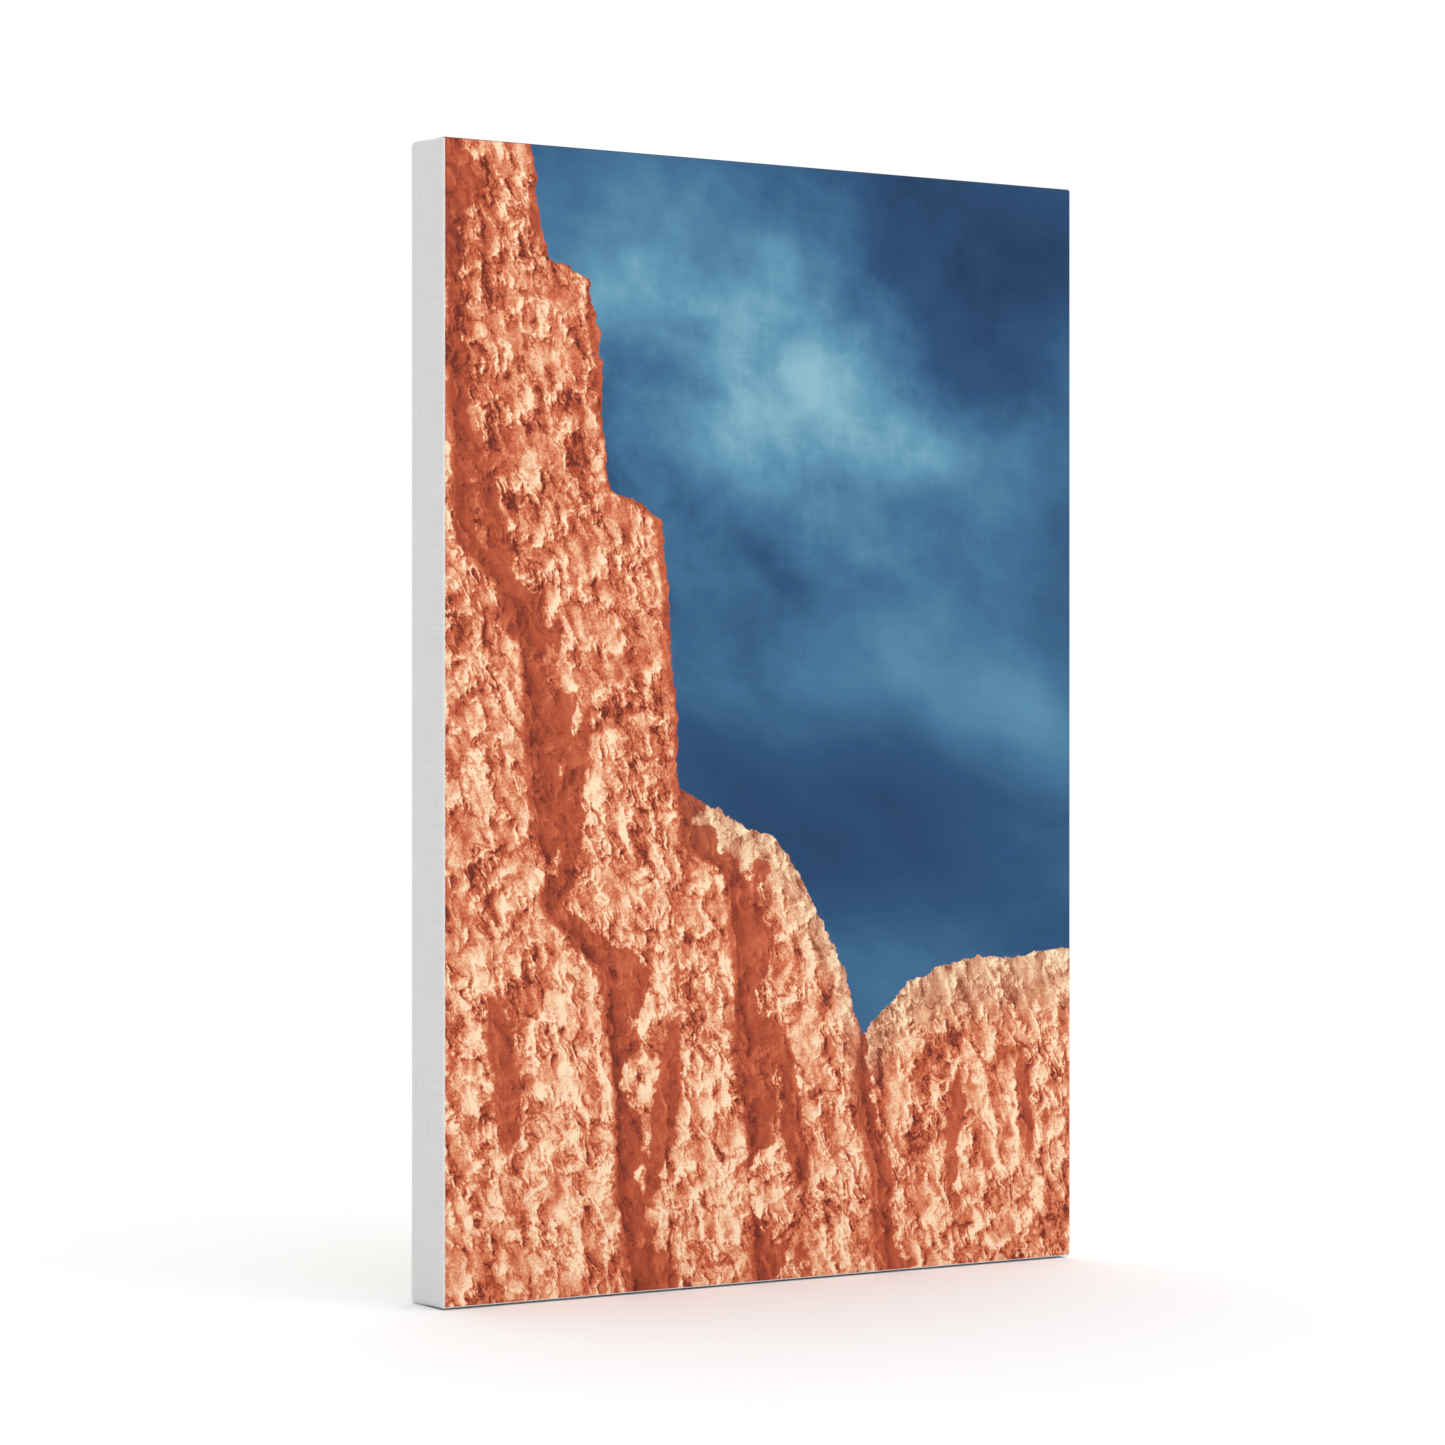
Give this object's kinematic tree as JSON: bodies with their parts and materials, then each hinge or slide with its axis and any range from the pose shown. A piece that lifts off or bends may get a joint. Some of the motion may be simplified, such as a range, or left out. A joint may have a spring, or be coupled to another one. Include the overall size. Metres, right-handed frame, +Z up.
{
  "type": "stretched canvas",
  "caption": "Gallery-wrapped printed canvas on a keyed pine stretcher frame, with D-ring hangers and wall bumpers on the back.",
  "frame": {"origin": "centre of the base, midway between the printed face and the bumpers' tips", "axes": "+X to the viewer's right of the printed face, +Y from the printed face to the back, +Z up"},
  "size_m": [0.4064, 0.0412, 0.6117],
  "materials": {
    "cloth": "matte",
    "wood_bar": "planed",
    "wood_key": "planed",
    "staple": "galvanised",
    "strap": "zinc plated",
    "ring": "zinc plated",
    "screw": "zinc plated",
    "bumper": "matte"
  },
  "bodies": {
    "frame": {"canvas": "cloth", "bar_top": "wood_bar", "bar_right": "wood_bar", "bar_bottom": "wood_bar", "bar_left": "wood_bar", "staples_top": "staple", "staples_right": "staple", "staples_bottom": "staple", "staples_left": "staple", "hanger_strap_left": "strap", "hanger_screw_left": "screw", "bumper_left": "bumper", "hanger_strap_right": "strap", "hanger_screw_right": "screw", "bumper_right": "bumper"},
    "key_top_by_left": {"key_top_by_left": "wood_key"},
    "key_top_by_right": {"key_top_by_right": "wood_key"},
    "key_right_by_top": {"key_right_by_top": "wood_key"},
    "key_right_by_bottom": {"key_right_by_bottom": "wood_key"},
    "key_bottom_by_right": {"key_bottom_by_right": "wood_key"},
    "key_bottom_by_left": {"key_bottom_by_left": "wood_key"},
    "key_left_by_bottom": {"key_left_by_bottom": "wood_key"},
    "key_left_by_top": {"key_left_by_top": "wood_key"},
    "hanger_ring_left": {"hanger_ring_left": "ring"},
    "hanger_ring_right": {"hanger_ring_right": "ring"}
  },
  "joints": [
    {"name": "key_top_by_left_slide", "type": "slide", "parent": "frame", "child": "key_top_by_left", "axis": [1, 0, 0], "range_m": [0, 0.03]},
    {"name": "key_top_by_right_slide", "type": "slide", "parent": "frame", "child": "key_top_by_right", "axis": [-1, 0, 0], "range_m": [0, 0.03]},
    {"name": "key_right_by_top_slide", "type": "slide", "parent": "frame", "child": "key_right_by_top", "axis": [0, 0, -1], "range_m": [0, 0.03]},
    {"name": "key_right_by_bottom_slide", "type": "slide", "parent": "frame", "child": "key_right_by_bottom", "axis": [0, 0, 1], "range_m": [0, 0.03]},
    {"name": "key_bottom_by_right_slide", "type": "slide", "parent": "frame", "child": "key_bottom_by_right", "axis": [-1, 0, 0], "range_m": [0, 0.03]},
    {"name": "key_bottom_by_left_slide", "type": "slide", "parent": "frame", "child": "key_bottom_by_left", "axis": [1, 0, 0], "range_m": [0, 0.03]},
    {"name": "key_left_by_bottom_slide", "type": "slide", "parent": "frame", "child": "key_left_by_bottom", "axis": [0, 0, 1], "range_m": [0, 0.03]},
    {"name": "key_left_by_top_slide", "type": "slide", "parent": "frame", "child": "key_left_by_top", "axis": [0, 0, -1], "range_m": [0, 0.03]},
    {"name": "hanger_ring_left_hinge", "type": "hinge", "parent": "frame", "child": "hanger_ring_left", "pos_m": [-0.18568, 0.0176, 0.47112], "axis": [1, 0, 0], "range_deg": [0, 176]},
    {"name": "hanger_ring_right_hinge", "type": "hinge", "parent": "frame", "child": "hanger_ring_right", "pos_m": [0.18568, 0.0176, 0.47112], "axis": [1, 0, 0], "range_deg": [0, 176]}
  ]
}
